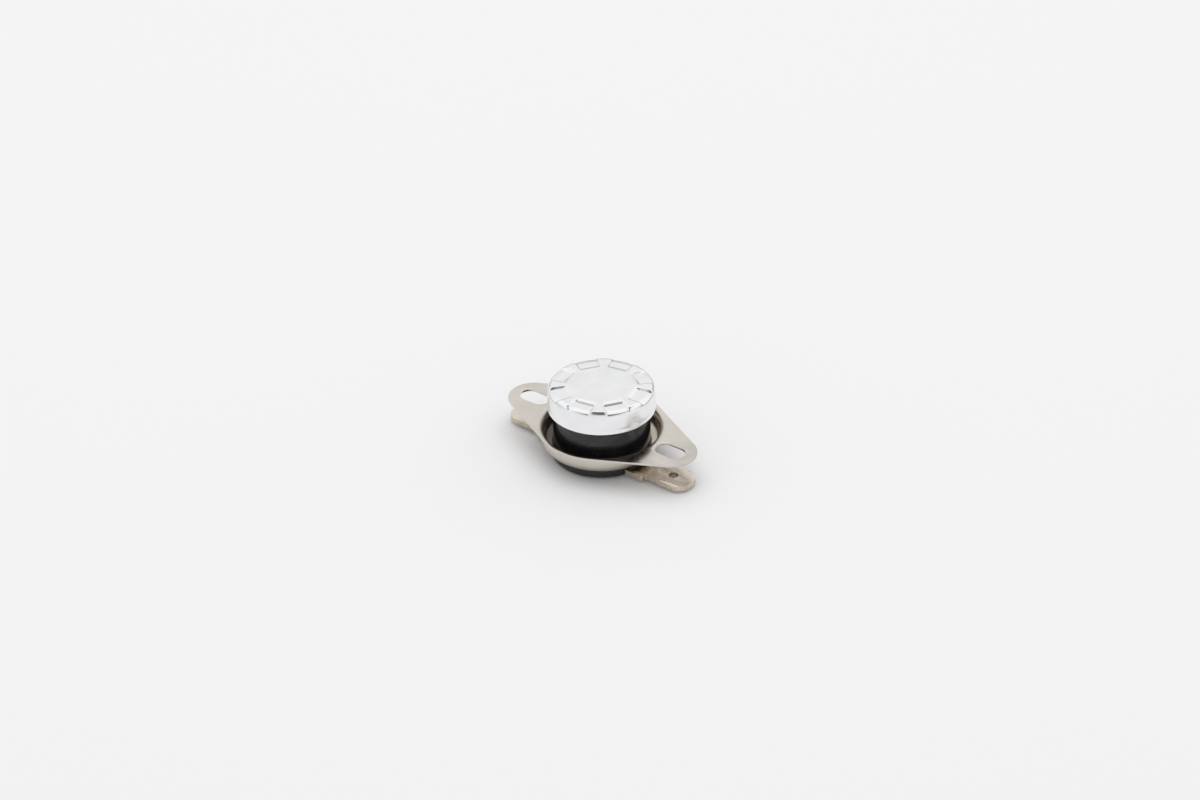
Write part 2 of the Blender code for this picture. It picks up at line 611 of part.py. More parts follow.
def build_bracket(parts, material, axle):
    """The loose bracket: a flat slotted plate drawn down into a lipped ring, one sheet throughout."""
    ring = drawn_ring()
    mesh = outline_mesh("bracket", [ear_outline(), circle((0, 0), ring[0][0], ROUND_STEPS),
                                    slot_outline(1), slot_outline(-1)], 0)
    shape = bmesh.new()
    shape.from_mesh(mesh)
    for vert in shape.verts:
        vert.co.z = PLATE_TOP
    bmesh.ops.recalc_face_normals(shape, faces=shape.faces)
    if sum(face.normal.z for face in shape.faces) < 0:
        bmesh.ops.reverse_faces(shape, faces=shape.faces)
    inside = (BRACKET_MOUTH_R + BRACKET_RING_R) / 2
    loop = [e for e in shape.edges if e.is_boundary
            and all(v.co.xy.length < inside for v in e.verts)]
    for radius, level in ring[1:]:
        grown = bmesh.ops.extrude_edge_only(shape, edges=loop)["geom"]
        for vert in (item for item in grown if isinstance(item, bmesh.types.BMVert)):
            vert.co.xy = vert.co.xy.normalized() * radius
            vert.co.z = level
        loop = [item for item in grown if isinstance(item, bmesh.types.BMEdge)]
    bmesh.ops.recalc_face_normals(shape, faces=shape.faces)
    if sum(face.normal.z for face in shape.faces) < 0:
        bmesh.ops.reverse_faces(shape, faces=shape.faces)
    shape.to_mesh(mesh)
    shape.free()
    bracket = add_object("bracket", mesh, parts, material, parent=axle)
    shade(bracket)
    sheet = bracket.modifiers.new("sheet", "SOLIDIFY")
    sheet.thickness = SHEET
    sheet.offset = -1
    sheet.use_even_offset = True
    return bracket


def main():
    clear_scene()
    parts = new_collection("bimetal_thermostat")
    cutters = new_collection("cutters")
    aluminium = make_material("drawn aluminium", (0.86, 0.86, 0.87), 1.0, 0.28)
    nickel = make_material("nickel plated steel", (0.66, 0.62, 0.57), 1.0, 0.22)
    tin = make_material("plated brass", (0.70, 0.62, 0.50), 1.0, 0.30)
    phenolic = make_material("black phenolic", (0.012, 0.012, 0.013), 0.0, 0.16)
    bimetal = make_material("bimetal", (0.60, 0.56, 0.50), 1.0, 0.35)
    ceramic = make_material("white ceramic", (0.84, 0.82, 0.77), 0.0, 0.45)
    brass = make_material("brass", (0.78, 0.60, 0.30), 1.0, 0.30)
    spring = make_material("spring copper", (0.80, 0.50, 0.28), 1.0, 0.28)
    silver = make_material("contact silver", (0.88, 0.87, 0.84), 1.0, 0.25)

    axle = add_empty("bracket axis", (0, 0, 0), BRACKET_REST_TURN, parts)
    slide = add_empty("pin slide", (0, 0, 0), 0, parts)
    pivot = add_empty("arm pivot", (CARRIER_LIP_X, 0, ARM_BOTTOM), 0, parts)

    build_cap(parts, cutters, aluminium)
    build_base(parts, cutters, phenolic)
    build_guide(parts, phenolic)
    build_disc(parts, bimetal)
    build_pin(parts, ceramic, slide)
    for side, sign, turn in (("left", -1, math.pi), ("right", 1, 0.0)):
        build_terminal(side, turn, parts, tin)
        build_rivet(side, sign, parts, brass)
    build_strips(parts, cutters, brass)
    build_arm(parts, spring, pivot)
    build_contacts(parts, silver, pivot)
    build_bracket(parts, nickel, axle)


main()
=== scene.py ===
"""Fine surfaces, materials, light and camera for the bimetal thermostat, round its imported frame."""

import math

import bmesh
import bpy
from mathutils import Matrix, Vector


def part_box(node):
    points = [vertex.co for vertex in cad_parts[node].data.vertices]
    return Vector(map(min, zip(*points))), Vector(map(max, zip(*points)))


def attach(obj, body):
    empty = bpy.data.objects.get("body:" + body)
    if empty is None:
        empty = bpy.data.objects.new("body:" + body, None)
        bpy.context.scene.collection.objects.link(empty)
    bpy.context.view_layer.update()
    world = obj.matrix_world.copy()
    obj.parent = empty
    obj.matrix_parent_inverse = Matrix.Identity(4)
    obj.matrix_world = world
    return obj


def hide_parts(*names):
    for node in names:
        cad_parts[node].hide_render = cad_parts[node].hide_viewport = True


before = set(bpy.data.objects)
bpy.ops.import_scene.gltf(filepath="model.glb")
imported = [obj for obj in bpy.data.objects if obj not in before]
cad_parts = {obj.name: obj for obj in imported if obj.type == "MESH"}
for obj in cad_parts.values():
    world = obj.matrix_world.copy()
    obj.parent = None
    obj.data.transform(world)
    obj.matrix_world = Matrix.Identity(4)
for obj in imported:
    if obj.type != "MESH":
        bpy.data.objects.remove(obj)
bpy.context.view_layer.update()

MM = 0.001

# Places and sizes that the frame gives
CAP_LOW, CAP_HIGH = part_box("cap")
BASE_LOW, BASE_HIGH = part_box("base")
BRACKET_LOW, BRACKET_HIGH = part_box("bracket")
BLADE_LOW, BLADE_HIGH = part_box("terminal_right")
RIVET_LOW, RIVET_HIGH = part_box("rivet_right")
CAP_R = CAP_HIGH.y
CAP_TOP = CAP_HIGH.z
CAP_BOTTOM = CAP_LOW.z
PLATE_TOP = BRACKET_HIGH.z
LIP_BOTTOM = BRACKET_LOW.z
RIVET_X = (RIVET_LOW.x + RIVET_HIGH.x) / 2

# Cap
CAP_WALL = 0.35 * MM
CAP_DRAFT = 0.12 * MM
CAP_FILLET = 0.80 * MM
CAP_MOUTH_R = 7.35 * MM
CRIMP_BEND = 0.45 * MM
CRIMP_GROOVE = 0.03 * MM  # depth of the line that the rolling leaves above the edge
CRIMP_GROOVE_HEIGHT = 0.85 * MM  # above the cap's lower edge
CRIMP_GROOVE_WIDTH = 0.20 * MM
PAD_COUNT = 8
PAD_TURN = math.radians(12.2)
PAD_DEPTH = 0.45 * MM
PAD_LENGTH = 2.80 * MM
PAD_INNER_WIDTH = 2.65 * MM
PAD_SPREAD = 0.0885  # growth of the pad's half width along its length
PAD_FILLET = 0.45 * MM
RIM_ROLL = 0.35 * MM  # width over which the flats roll off at the cap's edge
ROLL_TILT = math.radians(9)  # their tilt where the rim's bend begins
RAISED_BEND_SHARE = 0.7  # of the rim's rings, which go round the bend of the tongues
FLOOR_DEPTH = 0.25 * MM  # of the pads, up to where they roll down to the cap's edge
FLOOR_ROLL_START = 6.65 * MM  # from the axis

# The pads' walls: width of the roll-off, radius of the crest, slope, and shift of the wall's middle
WALL_TILT = math.radians(15)  # of the flats where a crest begins
WALL_FOOT = 0.03 * MM  # radius of the bend at a wall's foot
INNER_WALL = {"roll": 0.75 * MM, "crest": 0.10 * MM, "slope": math.radians(31), "shift": 0.08 * MM}
SIDE_WALL = {"roll": 0.34 * MM, "crest": 0.12 * MM, "slope": math.radians(41), "shift": -0.17 * MM}

# How many points and rings the cap's parts get
FLOOR_STEPS = 8
TONGUE_STEPS = 6
WALL_STEPS = 5
CENTRE_RINGS = 13
FLOOR_RINGS = 12
ROLL_RINGS = 6
RIM_RINGS = 24
SIDE_RINGS = 24

# Base
NECK_R = 7.20 * MM
NECK_WAIST = ((6.88 * MM, 7.10 * MM), (7.02 * MM, 6.10 * MM), (7.20 * MM, 5.05 * MM))  # radius, height
COLLAR_BOTTOM = CAP_BOTTOM + 0.40 * MM
COLLAR_R = 7.45 * MM
FLANGE_TOP = LIP_BOTTOM - 0.05 * MM
CAVITY_R = 6.00 * MM
CAVITY_FLOOR = 3.02 * MM
GUIDE_LEDGE = 9.42 * MM
MOUTH_R = 6.80 * MM
RECESS_WIDTH = 6.60 * MM
RECESS_INNER_X = 2.10 * MM
RIVET_HOLE_R = 0.80 * MM

# Bracket
SHEET = 0.30 * MM
BRACKET_TURN = math.radians(1.6)
LIP_R = 7.35 * MM
WALL_R = 9.05 * MM
MOUTH_BEND = 0.75 * MM
LIP_BEND = 1.20 * MM
RING_R = 9.60 * MM
EAR_R = 3.85 * MM
EAR_X = 12.60 * MM
SLOT_X = 12.40 * MM
SLOT_WIDTH = 3.00 * MM
SLOT_LENGTH = 4.90 * MM
SHEAR_ROUNDING = 0.06 * MM

# Painted shade on the nickel, in millimetres of height or along a direction: low on the drawn ring, and
# inside its foot on one side. Last, where the right ear darkens towards its tip
RING_PAINTED_SHADE = (1.6, 5.0)
# painted shade inside the drawn ring's foot, on the side that this direction points to
FOOT_PAINTED_SHADE = (2.2, 3.4)  # inside the drawn ring
PAINTED_SHADE_SIDE = (-0.78, -0.63, 0)
PAINTED_SHADE_SIDE_REACH = (1.0, 5.5)
EAR_DARKENING = (11.5, 16.5)  # along X

# Terminals and rivets
BLADE_WIDTH = 4.80 * MM
SHOULDER_X = 10.00 * MM
SHOULDER_RADIUS = 0.35 * MM
TIP_RADIUS = 2.10 * MM
HOLE_R = 0.70 * MM
HOLE_X = 13.30 * MM
BLADE_ROUNDING = 0.15 * MM
SHANK_R = 0.75 * MM
FOOT_HEIGHT = 0.42 * MM
HEAD_R = 1.25 * MM
HEAD_HEIGHT = 0.40 * MM

# Camera, fitted to the rims, slots and blade in the photograph
FRAME_WIDTH = 1200
FRAME_HEIGHT = 800
FOCAL_PIXELS = 4076
SENSOR_WIDTH = 36
CAMERA_DISTANCE = 600 * MM
CAMERA_AZIMUTH = math.radians(38.9)
CAMERA_ELEVATION = math.radians(32.7)
CAMERA_ROLL = math.radians(-0.7)
AIM_PIXEL = (601.8, 423.6)  # where the body's axis meets the bracket's top

# Light: one large soft lamp overhead, and an even surround
FLOOR_COLOUR = (0.92, 0.92, 0.93, 1)
WORLD_LIGHT = 0.73
SOFTBOX_AZIMUTH = 128.9
SOFTBOX_ELEVATION = 78
SOFTBOX_SIZE = 1.2
SOFTBOX_POWER = 3.40

# What metal mirrors, by the direction: its height and how far it points to the camera's side
SURROUND_LEVEL = 0.90
BRIGHT_START = (0.59, 0.66)
BRIGHT_GAIN = 1.17
CEILING_START = (0.83, 0.96)
CEILING_GAIN = 0.64
NEAR_START = (0.0, 0.6)
NEAR_HEIGHT = (0.15, 0.65)
NEAR_GAIN = 0.80
LOW_END = (0.10, 0.45)  # of the grey band low on the side away from the camera
LOW_SIDE = (-0.1, 0.3)
LOW_GAIN = 0.50
LOW_LEAN = 0.10  # how much higher that band reaches on the camera's right
GAP_AZIMUTH = -51.0
GAP_ELEVATION = 84.0
GAP_WIDTH = (0.05, 0.60)
GAP_LENGTH = (0.68, 0.92)
GAP_LEVEL = 0.20

AROUND = 240  # points round a turned form
ROUNDING_STEPS = 6
SCRATCH_LENGTH = 14  # times as long as wide
WORLD_UP = Vector((0, 0, 1))


def arc(centre, radius, start, end, steps):
    """Points of an arc in the plane, angles in degrees."""
    points = []
    for step in range(steps + 1):
        angle = math.radians(start + (end - start) * step / steps)
        points.append((centre[0] + radius * math.cos(angle), centre[1] + radius * math.sin(angle)))
    return points


def lerp(a, b, share):
    return a + (b - a) * share


def direction(azimuth, elevation):
    """The unit vector to this azimuth and elevation, in degrees."""
    turn = math.radians(azimuth)
    rise = math.radians(elevation)
    return Vector((math.cos(turn) * math.cos(rise), math.sin(turn) * math.cos(rise), math.sin(rise)))


def new_object(name, mesh, materials):
    obj = bpy.data.objects.new(name, mesh)
    bpy.context.scene.collection.objects.link(obj)
    for material in materials:
        mesh.materials.append(material)
    return obj


def place(obj, body, node):
    """The piece rides on its body and stands for a CAD node."""
    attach(obj, body)
    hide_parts(node)


class Nodes:
    """Short calls for the nodes that the finishes and the surround use."""

    def __init__(self, tree):
        self.tree = tree

    def add(self, kind):
        return self.tree.nodes.new(kind)

    def link(self, output, target):
        self.tree.links.new(output, target)

    def maths(self, operation, one, other):
        """The result of a sum or the like, of an output and an output or a number."""
        node = self.add("ShaderNodeMath")
        node.operation = operation
        self.link(one, node.inputs[0])
        if isinstance(other, bpy.types.NodeSocket):
            self.link(other, node.inputs[1])
        else:
            node.inputs[1].default_value = other
        return node.outputs[0]

    def spread(self, value, low, high, to_low=0.0, to_high=1.0, smooth=False):
        """The value from low to high, spread over a new range."""
        node = self.add("ShaderNodeMapRange")
        node.interpolation_type = "SMOOTHSTEP" if smooth else "LINEAR"
        node.inputs["From Min"].default_value = low
        node.inputs["From Max"].default_value = high
        node.inputs["To Min"].default_value = to_low
        node.inputs["To Max"].default_value = to_high
        self.link(value, node.inputs["Value"])
        return node.outputs["Result"]

    def along(self, vector, direction):
        """How far the vector points in this direction."""
        node = self.add("ShaderNodeVectorMath")
        node.operation = "DOT_PRODUCT"
        node.inputs[1].default_value = direction
        self.link(vector, node.inputs[0])
        return node.outputs["Value"]


class Shader(Nodes):
    """A material's node tree, with short calls for its finish."""

    def __init__(self, name, roughness, metallic, colour):
        self.material = bpy.data.materials.new(name)
        self.material.use_nodes = True
        super().__init__(self.material.node_tree)
        self.shader = self.tree.nodes["Principled BSDF"]
        self.shader.inputs["Base Color"].default_value = (*colour, 1)
        self.shader.inputs["Metallic"].default_value = metallic
        self.shader.inputs["Roughness"].default_value = roughness
        self.coordinates = self.add("ShaderNodeTexCoord")
        self.last_normal = None

    def position(self, stretch=(1, 1, 1), turn=0.0):
        """Object coordinates in millimetres, drawn out where the stretch is small."""
        mapping = self.add("ShaderNodeMapping")
        mapping.inputs["Scale"].default_value = [share / MM for share in stretch]
        mapping.inputs["Rotation"].default_value = (0, 0, turn)
        self.link(self.coordinates.outputs["Object"], mapping.inputs["Vector"])
        return mapping.outputs["Vector"]

    def height(self):
        """Height in millimetres."""
        return self.along(self.position(), WORLD_UP)

    def noise(self, scale, detail=2.0, stretch=(1, 1, 1), turn=0.0):
        """Noise with so many features to the millimetre."""
        texture = self.add("ShaderNodeTexNoise")
        texture.inputs["Scale"].default_value = scale
        texture.inputs["Detail"].default_value = detail
        self.link(self.position(stretch, turn), texture.inputs["Vector"])
        return texture.outputs["Fac"]

    def scratches(self, density, turn):
        """Thin lines, along X before the turn."""
        lines = self.noise(density, 1.0, (1 / SCRATCH_LENGTH, 1, 1), turn)
        return self.spread(lines, 0.70, 0.78)

    def colour(self, value, one, other):
        """The base colour, from one colour to the other with the value."""
        node = self.add("ShaderNodeMix")
        node.data_type = "RGBA"
        node.inputs[6].default_value = (*one, 1)
        node.inputs[7].default_value = (*other, 1)
        self.link(value, node.inputs[0])
        self.link(node.outputs[2], self.shader.inputs["Base Color"])

    def tinted(self, value, colour):
        """Turns the base colour towards another where the value is high."""
        node = self.add("ShaderNodeMix")
        node.data_type = "RGBA"
        self.link(self.shader.inputs["Base Color"].links[0].from_socket, node.inputs[6])
        node.inputs[7].default_value = (*colour, 1)
        self.link(value, node.inputs[0])
        self.link(node.outputs[2], self.shader.inputs["Base Color"])

    def roughness(self, value):
        self.link(value, self.shader.inputs["Roughness"])

    def bump(self, height, depth):
        """Raises the surface by up to this depth. Bumps add up."""
        node = self.add("ShaderNodeBump")
        node.inputs["Distance"].default_value = depth
        self.link(height, node.inputs["Height"])
        if self.last_normal:
            self.link(self.last_normal, node.inputs["Normal"])
        self.last_normal = node.outputs["Normal"]
        self.link(self.last_normal, self.shader.inputs["Normal"])


def drawn_aluminium():
    shader = Shader("drawn aluminium", 0.15, 1.0, (0.90, 0.90, 0.91))
    shader.colour(shader.spread(shader.noise(0.35, 3), 0.35, 0.65), (0.92, 0.92, 0.93), (0.87, 0.875, 0.885))
    worn = shader.spread(shader.noise(1.3, 4), 0.3, 0.7, 0.10, 0.19)
    rougher_side = shader.spread(shader.height(), CAP_TOP / MM - 1.0, CAP_TOP / MM - 0.4, 0.08, 0)
    shader.roughness(shader.maths("ADD", worn, rougher_side))
    shader.bump(shader.noise(14, 2), 0.0012 * MM)
    shader.bump(shader.noise(0.5, 2), 0.006 * MM)
    shader.bump(shader.scratches(3.2, 0.4), 0.0015 * MM)
    shader.bump(shader.scratches(2.4, 1.9), 0.0012 * MM)
    return shader.material


def nickel_plate():
    shader = Shader("nickel plate", 0.18, 1.0, (0.68, 0.64, 0.585))
    shader.colour(shader.spread(shader.noise(0.25, 3), 0.35, 0.65), (0.70, 0.66, 0.605), (0.64, 0.60, 0.545))
    # Painted shade: the drawn ring darker towards its bottom, where its wall would mirror the shadowed floor
    painted_low_shade = shader.spread(shader.height(), *RING_PAINTED_SHADE, 1, 0, smooth=True)
    shader.tinted(painted_low_shade, (0.47, 0.42, 0.355))
    # Painted shade: a dark patch inside the ring's foot, on one side only, where the lip would lie in shade
    inside = shader.spread(shader.along(shader.coordinates.outputs["Normal"], WORLD_UP), 0.1, 0.5)
    low = shader.spread(shader.height(), *FOOT_PAINTED_SHADE, 1, 0, smooth=True)
    foot = shader.maths("MULTIPLY", inside, low)
    aside = shader.along(shader.position(), PAINTED_SHADE_SIDE)
    foot = shader.maths("MULTIPLY", foot, shader.spread(aside, *PAINTED_SHADE_SIDE_REACH, 0, 1, smooth=True))
    shader.tinted(foot, (0.10, 0.085, 0.07))
    along_ear = shader.along(shader.position(), (1, 0, 0))
    shader.tinted(shader.spread(along_ear, *EAR_DARKENING, 0, 0.5, smooth=True), (0.50, 0.475, 0.45))
    shader.roughness(shader.spread(shader.noise(0.9, 4), 0.3, 0.7, 0.11, 0.22))
    shader.bump(shader.noise(5, 2, (0.05, 1, 1), 0.15), 0.0010 * MM)
    shader.bump(shader.noise(0.4, 2), 0.010 * MM)
    shader.bump(shader.scratches(2.2, 0.9), 0.0012 * MM)
    return shader.material


def black_phenolic():
    shader = Shader("black phenolic", 0.13, 0.0, (0.012, 0.012, 0.013))
    tone = shader.spread(shader.noise(0.6, 3), 0.35, 0.7)
    shader.colour(tone, (0.010, 0.010, 0.011), (0.018, 0.017, 0.017))
    shader.roughness(shader.spread(shader.noise(1.1, 4), 0.3, 0.7, 0.09, 0.19))
    shader.bump(shader.noise(2.6, 3), 0.0020 * MM)
    shader.bump(shader.noise(0.35, 1), 0.010 * MM)
    return shader.material


def plated_brass():
    shader = Shader("plated brass", 0.24, 1.0, (0.70, 0.64, 0.56))
    shader.colour(shader.spread(shader.noise(0.5, 4), 0.35, 0.7), (0.77, 0.71, 0.63), (0.67, 0.605, 0.51))
    shader.roughness(shader.spread(shader.noise(1.2, 4), 0.3, 0.7, 0.16, 0.30))
    shader.bump(shader.noise(6, 2, (0.06, 1, 1)), 0.0012 * MM)
    shader.bump(shader.noise(0.45, 2), 0.012 * MM)
    shader.bump(shader.scratches(2.6, 0.25), 0.0018 * MM)
    return shader.material


def sheared_brass():
    """The cut edges of the strip, with upright lines from the punch."""
    shader = Shader("sheared brass", 0.34, 1.0, (0.72, 0.64, 0.53))
    shader.colour(shader.spread(shader.noise(1.5, 3), 0.35, 0.7), (0.70, 0.62, 0.52), (0.58, 0.49, 0.38))
    shader.roughness(shader.spread(shader.noise(2.0, 3), 0.3, 0.7, 0.25, 0.42))
    shader.bump(shader.noise(9, 2, (1, 1, 0.08)), 0.0060 * MM)
    return shader.material


def bare_brass(name="bare brass", light=(0.82, 0.66, 0.36), dark=(0.70, 0.52, 0.26)):
    shader = Shader(name, 0.28, 1.0, light)
    shader.colour(shader.spread(shader.noise(0.7, 4), 0.35, 0.7), light, dark)
    shader.roughness(shader.spread(shader.noise(1.6, 3), 0.3, 0.7, 0.20, 0.36))
    shader.bump(shader.noise(7, 2, (0.08, 1, 1)), 0.0015 * MM)
    return shader.material


def rolled_bimetal():
    shader = Shader("rolled bimetal", 0.30, 1.0, (0.60, 0.56, 0.50))
    shader.colour(shader.spread(shader.noise(0.4, 3), 0.35, 0.65), (0.62, 0.58, 0.52), (0.54, 0.50, 0.45))
    shader.roughness(shader.spread(shader.noise(1.0, 3), 0.3, 0.7, 0.24, 0.38))
    shader.bump(shader.noise(8, 2, (0.04, 1, 1)), 0.0015 * MM)
    return shader.material


def steatite():
    shader = Shader("steatite", 0.45, 0.0, (0.84, 0.82, 0.77))
    shader.colour(shader.spread(shader.noise(2, 4), 0.35, 0.65), (0.85, 0.83, 0.78), (0.80, 0.78, 0.73))
    shader.roughness(shader.spread(shader.noise(3, 3), 0.3, 0.7, 0.38, 0.55))
    shader.bump(shader.noise(12, 3), 0.0030 * MM)
    return shader.material


def contact_silver():
    shader = Shader("contact silver", 0.22, 1.0, (0.90, 0.89, 0.86))
    shader.colour(shader.spread(shader.noise(1, 4), 0.35, 0.7), (0.91, 0.90, 0.87), (0.82, 0.80, 0.76))
    shader.roughness(shader.spread(shader.noise(2, 3), 0.3, 0.7, 0.16, 0.30))
    shader.bump(shader.noise(10, 2), 0.0015 * MM)
    return shader.material


def skin(name, rings, materials):
    """A closed mesh over rings with as many points each, its two ends drawn together in a point."""
    shape = bmesh.new()
    start = shape.verts.new(sum((Vector(p) for p in rings[0]), Vector()) / len(rings[0]))
    end = shape.verts.new(sum((Vector(p) for p in rings[-1]), Vector()) / len(rings[-1]))
    rows = [[shape.verts.new(point) for point in ring] for ring in rings]
    count = len(rows[0])
    for index in range(count):
        following = (index + 1) % count
        shape.faces.new((start, rows[0][index], rows[0][following]))
        shape.faces.new((end, rows[-1][following], rows[-1][index]))
        for upper, lower in zip(rows, rows[1:]):
            shape.faces.new((upper[index], lower[index], lower[following], upper[following]))
    bmesh.ops.recalc_face_normals(shape, faces=shape.faces)
    mesh = bpy.data.meshes.new(name)
    shape.to_mesh(mesh)
    shape.free()
    mesh.shade_smooth()
    return new_object(name, mesh, materials)


def rounded(corners):
    """A profile of (radius, height, rounding), each corner with its own rounding."""
    points = []
    for index, (r, z, rounding) in enumerate(corners):
        if not rounding:
            points.append((r, z))
            continue
        corner = Vector((r, z))
        back = (Vector(corners[index - 1][:2]) - corner).normalized()
        ahead = (Vector(corners[index + 1][:2]) - corner).normalized()
        half = back.angle(ahead) / 2
        centre = corner + (back + ahead).normalized() * rounding / math.sin(half)
        start = corner + back * rounding / math.tan(half) - centre
        sweep = start.angle_signed(corner + ahead * rounding / math.tan(half) - centre)
        for step in range(ROUNDING_STEPS + 1):
            points.append(tuple(centre + Matrix.Rotation(-sweep * step / ROUNDING_STEPS, 2) @ start))
    return points


def lathe(name, corners, materials, centre=(0, 0), around=AROUND):
    """A solid of revolution about an upright axis, from a profile between two points on it."""
    rings = []
    for r, z in rounded(corners)[1:-1]:
        angles = (2 * math.pi * index / around for index in range(around))
        rings.append([(centre[0] + r * math.cos(a), centre[1] + r * math.sin(a), z) for a in angles])
    obj = skin(name, rings, materials)
    obj.data.set_sharp_from_angle(angle=math.radians(40))
    return obj


def cap_radius(z):
    """Outer radius of the cap's side, with its draft and the rolled line above the edge."""
    share = (z - CAP_BOTTOM) / (CAP_TOP - CAP_BOTTOM)
    line = (z - CAP_BOTTOM - CRIMP_GROOVE_HEIGHT) / CRIMP_GROOVE_WIDTH
    return CAP_R - CAP_DRAFT * share - CRIMP_GROOVE * math.exp(-line * line)


def rolled(distance, width, tilt):
    """How far a flat has sunk at this distance into the strip where it rolls off to a tilt."""
    return math.tan(tilt) * distance ** 2 / (2 * width)


def pressed_wall(roll, crest, slope, shift):
    """(offset, depth) across a pressed wall, from the start of its roll-off to its foot."""
    distances = [roll * step / WALL_STEPS for step in range(WALL_STEPS)]
    points = [(distance, rolled(distance, roll, WALL_TILT)) for distance in distances]
    rolled_down = rolled(roll, roll, WALL_TILT)
    for step in range(WALL_STEPS + 1):
        angle = lerp(WALL_TILT, slope, step / WALL_STEPS)
        across = roll + crest * (math.sin(angle) - math.sin(WALL_TILT))
        points.append((across, rolled_down + crest * (math.cos(WALL_TILT) - math.cos(angle))))
    across, depth = points[-1]
    drop = FLOOR_DEPTH - depth - WALL_FOOT * (1 - math.cos(slope))
    end = across + drop / math.tan(slope) + WALL_FOOT * math.sin(slope)
    middle = across + (FLOOR_DEPTH / 2 - depth) / math.tan(slope)
    for step in range(WALL_STEPS + 1):
        angle = slope * (1 - step / WALL_STEPS)
        points.append((end - WALL_FOOT * math.sin(angle), FLOOR_DEPTH - WALL_FOOT * (1 - math.cos(angle))))
    return [(offset - middle + shift, depth) for offset, depth in points]


def floor_depth(distance):
    """How deep the pads are at this distance from the axis, outside their inner walls."""
    past = max(0, distance - FLOOR_ROLL_START)
    if past < RIM_ROLL:
        return FLOOR_DEPTH + rolled(past, RIM_ROLL, ROLL_TILT)
    return FLOOR_DEPTH + math.tan(ROLL_TILT) * (past - RIM_ROLL / 2)


def pad_edge_angle(radius, offset):
    """Angle from a pad's axis to its side wall, this far inside the wall, on a circle."""
    half = PAD_INNER_WIDTH / 2 - PAD_SPREAD * (CAP_R - PAD_LENGTH) - offset
    return math.atan(PAD_SPREAD) + math.asin(half * math.cos(math.atan(PAD_SPREAD)) / radius)


def cap_sector(radius, wall):
    """(angle from the pad's axis, share sunk) of the points across one of the cap's eight sectors."""
    sector = math.pi / PAD_COUNT
    fixed = max(radius, CAP_R - PAD_LENGTH)
    foot = pad_edge_angle(fixed, wall[-1][0])
    crest = pad_edge_angle(fixed, wall[0][0])
    half = [(foot * step / FLOOR_STEPS, 1.0) for step in range(FLOOR_STEPS)]
    half += [(pad_edge_angle(fixed, offset), depth / FLOOR_DEPTH) for offset, depth in reversed(wall)]
    half += [(lerp(crest, sector, step / TONGUE_STEPS), 0.0) for step in range(1, TONGUE_STEPS + 1)]
    return [(-angle, sunk) for angle, sunk in reversed(half[1:-1])] + half


def rim_bend(end, share, fillet):
    """(radius, height) round the bend from the end of the flat to the side, which has this height."""
    angle = lerp(ROLL_TILT, math.pi / 2, share)
    centre = cap_radius(end) - fillet
    return Vector((centre + fillet * math.sin(angle), end + fillet * math.cos(angle)))


def rim_point(share, sunk):
    """(radius, height) along the rim, from the flat top to the side, on the tongues or the pads."""
    raised_end = CAP_TOP - rolled(RIM_ROLL, RIM_ROLL, ROLL_TILT) - CAP_FILLET * math.cos(ROLL_TILT)
    pad_edge = cap_radius(CAP_TOP - PAD_DEPTH) - PAD_FILLET * (1 - math.sin(ROLL_TILT))
    end = CAP_TOP - floor_depth(pad_edge) - PAD_FILLET * math.cos(ROLL_TILT)
    raised = rim_bend(raised_end, min(1, share / RAISED_BEND_SHARE), CAP_FILLET)
    if share > RAISED_BEND_SHARE:
        raised.y = lerp(raised_end, end, (share - RAISED_BEND_SHARE) / (1 - RAISED_BEND_SHARE))
        raised.x = cap_radius(raised.y)
    return raised.lerp(rim_bend(end, share, PAD_FILLET), sunk)


def cap_ring(radius_and_height, radius, wall):
    """One ring round the cap. The function gives radius and height from the angle and the share sunk."""
    points = []
    for index in range(PAD_COUNT):
        middle = PAD_TURN + index * 2 * math.pi / PAD_COUNT
        for angle, sunk in cap_sector(radius, wall):
            r, z = radius_and_height(angle, sunk)
            points.append((r * math.cos(middle + angle), r * math.sin(middle + angle), z))
    return points


def top_ring(distance, straight, depth, wall, drop=0.0):
    """A ring on the top, straight across the pads by that share. The pads lie at the depth here, the
    tongues at the drop."""
    inner = CAP_R - PAD_LENGTH
    corner = pad_edge_angle(inner, 0)
    if distance >= inner:
        corner = math.atan2(PAD_INNER_WIDTH / 2 + PAD_SPREAD * (distance - inner), distance)
    radius = lerp(distance, distance / math.cos(corner), straight)

    def point(angle, sunk):
        bend = math.cos(corner) / math.cos(min(abs(angle), corner))
        return radius * lerp(1, bend, straight), CAP_TOP - lerp(drop, depth, sunk)

    return cap_ring(point, radius, wall)


